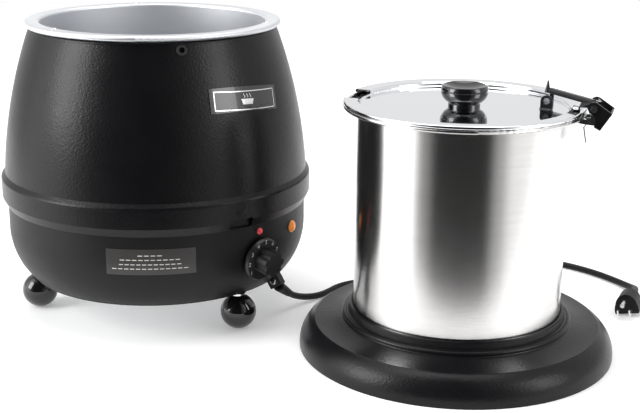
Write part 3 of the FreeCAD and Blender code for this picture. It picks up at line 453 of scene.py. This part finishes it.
def ribbons(name, plate, lines, material, body):
    """Raised flat ribbons on a plate; each line is (places, width), closed when it ends where it began."""
    vertices = []
    faces = []
    for places, width in lines:
        path = []
        for (x, y), (x2, y2) in zip(places, places[1:]):
            count = max(1, round(math.hypot(x2 - x, y2 - y) / RIBBON_STEP))
            path += [(x + (x2 - x) * n / count, y + (y2 - y) * n / count) for n in range(count)]
        closed = places[0] == places[-1]
        if not closed:
            path.append(places[-1])
        base = len(vertices)
        total = len(path)
        for index, (x, y) in enumerate(path):
            before = path[index - 1] if closed or index else path[0]
            after = path[(index + 1) % total] if closed or index < total - 1 else path[-1]
            length = math.hypot(after[0] - before[0], after[1] - before[1])
            aside = ((before[1] - after[1]) / length * width / 2, (after[0] - before[0]) / length * width / 2)
            for sign in (1, -1):
                place, normal = plate.seat((x + sign * aside[0], y + sign * aside[1]))
                vertices += [place + normal * PRINT_HEIGHT, place - normal * PRINT_HEIGHT]
        for index in range(total if closed else total - 1):
            a, b = base + index * 4, base + (index + 1) % total * 4
            faces += [(a, a + 2, b + 2, b), (a + 1, b + 1, b + 3, a + 3), (a, b, b + 1, a + 1),
                      (a + 2, a + 3, b + 3, b + 2)]
        if not closed:
            end = base + (total - 1) * 4
            faces += [(base, base + 1, base + 3, base + 2), (end, end + 2, end + 3, end + 1)]
    piece = mesh_piece(name, vertices, faces, material, False)
    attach(piece, body)


def middle(node):
    low_corner, high_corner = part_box(node)
    return (Vector(low_corner) + Vector(high_corner)) / 2


def away(azimuth, drop=0.0):
    """Unit direction at an azimuth, pointing below the horizontal by an angle, in degrees."""
    flat = math.cos(math.radians(drop))
    return Vector((flat * math.cos(math.radians(azimuth)), flat * math.sin(math.radians(azimuth)),
                   -math.sin(math.radians(drop))))


BADGE_AZIMUTH = -43.2
BADGE_TILT = -4
BORDER_REACH = 39
BORDER_RISE = 9
LABEL_AZIMUTH = -83.8

badge_face = Plate("badge_plate", middle("badge_plate"), away(BADGE_AZIMUTH), BADGE_TILT)
border = [(-BORDER_REACH, -BORDER_RISE), (BORDER_REACH, -BORDER_RISE), (BORDER_REACH, BORDER_RISE),
          (-BORDER_REACH, BORDER_RISE), (-BORDER_REACH, -BORDER_RISE)]
ribbons("badge_border", badge_face, [(border, 0.9)], MATERIALS["steel"], "kettle")
bowl = [([(-8 + rise * 0.35, 1 - rise), (8 - rise * 0.35, 1 - rise)], 0.9)
        for rise in (0, 0.9, 1.8, 2.7, 3.6, 4.5)]
steam = [([(x + 0.8 * math.sin(rise * 1.3), 2.6 + rise) for rise in (0, 1, 2, 3, 4)], 0.7)
         for x in (-4, 0, 4)]
ribbons("badge_bowl", badge_face, bowl + steam, MATERIALS["steel"], "kettle")

label_face = Plate("rating_plate", middle("rating_plate"), away(LABEL_AZIMUTH))
dashes = []
for row, width in zip((7, 2.4, -2.4, -7), (26, 62, 64, 78)):
    count = round(width / 6)
    for dash in range(count):
        left = -width / 2 + dash * width / count
        dashes.append(([(left, row), (left + width / count * 0.72, row)], 0.8))
ribbons("label_dashes", label_face, dashes, MATERIALS["nylon"], "kettle")

# Numbers round the left and the top of the dial's disc.

DIAL_AZIMUTH = -41.2
DIAL_DROP = 8
DIAL_REACH = 0.1629
DIAL_HEIGHT = 0.084
NUMBER_RING = 19.5
NUMBER_SIZE = 6.2
FIRST_NUMBER_AT = 215
NUMBER_SPACING = 32

dial_centre = away(DIAL_AZIMUTH) * DIAL_REACH + Vector((0, 0, DIAL_HEIGHT))
dial_face = Plate("dial_knob", dial_centre, away(DIAL_AZIMUTH, DIAL_DROP))
number_vertices = []
number_faces = []
for index, number in enumerate("1234567"):
    turned = math.radians(FIRST_NUMBER_AT - index * NUMBER_SPACING)
    curve = bpy.data.curves.new("number", "FONT")
    curve.body = number
    curve.size = NUMBER_SIZE
    curve.align_x = "CENTER"
    curve.align_y = "CENTER"
    holder = bpy.data.objects.new("number", curve)
    scene.collection.objects.link(holder)
    flat = bpy.data.meshes.new_from_object(holder.evaluated_get(bpy.context.evaluated_depsgraph_get()))
    bpy.data.objects.remove(holder)
    middle_x, middle_y = NUMBER_RING * math.cos(turned), NUMBER_RING * math.sin(turned)
    base = len(number_vertices)
    for vertex in flat.vertices:
        place, normal = dial_face.seat((middle_x + vertex.co.x, middle_y + vertex.co.y))
        number_vertices.append(place + normal * PRINT_HEIGHT)
    number_faces += [tuple(base + corner for corner in face.vertices) for face in flat.polygons]
numbers = mesh_piece("dial_numbers", number_vertices, number_faces, MATERIALS["nylon"], False)
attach(numbers, "dial")

# --- stage --------------------------------------------------------------------------------------------------


def stage_floor():
    """Flat pale table top, glowing a little so that shadows stay light."""
    corners = [(-1.4, -0.42), (2.0, -0.42), (2.0, 2.2), (-1.4, 2.2)]
    mesh = bmesh.new()
    for x, y in corners:
        mesh.verts.new((x, y, 0))
    mesh.faces.new(mesh.verts)
    data = bpy.data.meshes.new("table_top")
    mesh.to_mesh(data)
    mesh.free()
    table = bpy.data.objects.new("table_top", data)
    scene.collection.objects.link(table)
    paint = Paint("pale table", (0.93, 0.93, 0.93), 0.6)
    paint.rough(paint.noise(None, 8, 2.0), 0.55, 0.7)
    paint.shader.inputs["Emission Color"].default_value = (1, 1, 1, 1)
    paint.shader.inputs["Emission Strength"].default_value = 0.25
    data.materials.append(paint.material)


stage_floor()


def studio_world():
    """White studio all round, with the dark room behind the camera seen only in reflections."""
    world = bpy.data.worlds.new("studio")
    scene.world = world
    world.use_nodes = True
    tree = world.node_tree
    nodes = tree.nodes
    links = tree.links
    background = nodes["Background"]
    direction = nodes.new("ShaderNodeTexCoord").outputs["Generated"]
    parts = nodes.new("ShaderNodeSeparateXYZ")
    links.new(direction, parts.inputs[0])
    angle = nodes.new("ShaderNodeMath")
    angle.operation = "ARCTAN2"
    links.new(parts.outputs["X"], angle.inputs[0])
    flip = nodes.new("ShaderNodeMath")
    flip.operation = "MULTIPLY"
    flip.inputs[1].default_value = -1
    links.new(parts.outputs["Y"], flip.inputs[0])
    links.new(flip.outputs[0], angle.inputs[1])
    # angle is now 0 towards the front, positive to the right, in radians
    sweep = nodes.new("ShaderNodeMapRange")
    sweep.inputs["From Min"].default_value = -math.pi
    sweep.inputs["From Max"].default_value = math.pi
    links.new(angle.outputs[0], sweep.inputs["Value"])
    ramp = nodes.new("ShaderNodeValToRGB")
    ramp.color_ramp.interpolation = "EASE"
    stops = [(-180, 0.85), (-112, 0.8), (-94, 2.2), (-66, 2.2), (-46, 0.3), (-30, 0.02), (22, 0.02),
             (36, 0.4), (52, 0.95), (78, 0.95), (110, 0.8), (180, 0.85)]
    elements = ramp.color_ramp.elements
    while len(elements) < len(stops):
        elements.new(0.5)
    for element, (degrees, level) in zip(elements, stops):
        element.position = (degrees + 180) / 360
        element.color = (level, level, level, 1)
    links.new(sweep.outputs["Result"], ramp.inputs["Fac"])
    rays = nodes.new("ShaderNodeLightPath")
    mix = nodes.new("ShaderNodeMix")
    mix.data_type = "RGBA"
    links.new(rays.outputs["Is Camera Ray"], mix.inputs["Factor"])
    links.new(ramp.outputs["Color"], mix.inputs["A"])
    mix.inputs["B"].default_value = (1, 1, 1, 1)
    links.new(mix.outputs["Result"], background.inputs["Color"])
    background.inputs["Strength"].default_value = 1.0


studio_world()


def softbox(name, place, target, width, height, power):
    light = bpy.data.lights.new(name, "AREA")
    light.shape = "RECTANGLE"
    light.size = width
    light.size_y = height
    light.energy = power
    lamp = bpy.data.objects.new(name, light)
    lamp.location = place
    lamp.rotation_euler = (Vector(target) - Vector(place)).to_track_quat("-Z", "Y").to_euler()
    scene.collection.objects.link(lamp)
    return lamp


softbox("left softbox", (-1.5, -0.75, 0.9), (0.1, 0, 0.15), 0.8, 1.2, 22)
softbox("right softbox", (2.0, -0.9, 1.0), (0.3, 0, 0.15), 0.8, 1.2, 12)
softbox("top softbox", (0.2, 0.1, 1.9), (0.2, 0, 0), 1.6, 1.6, 14)
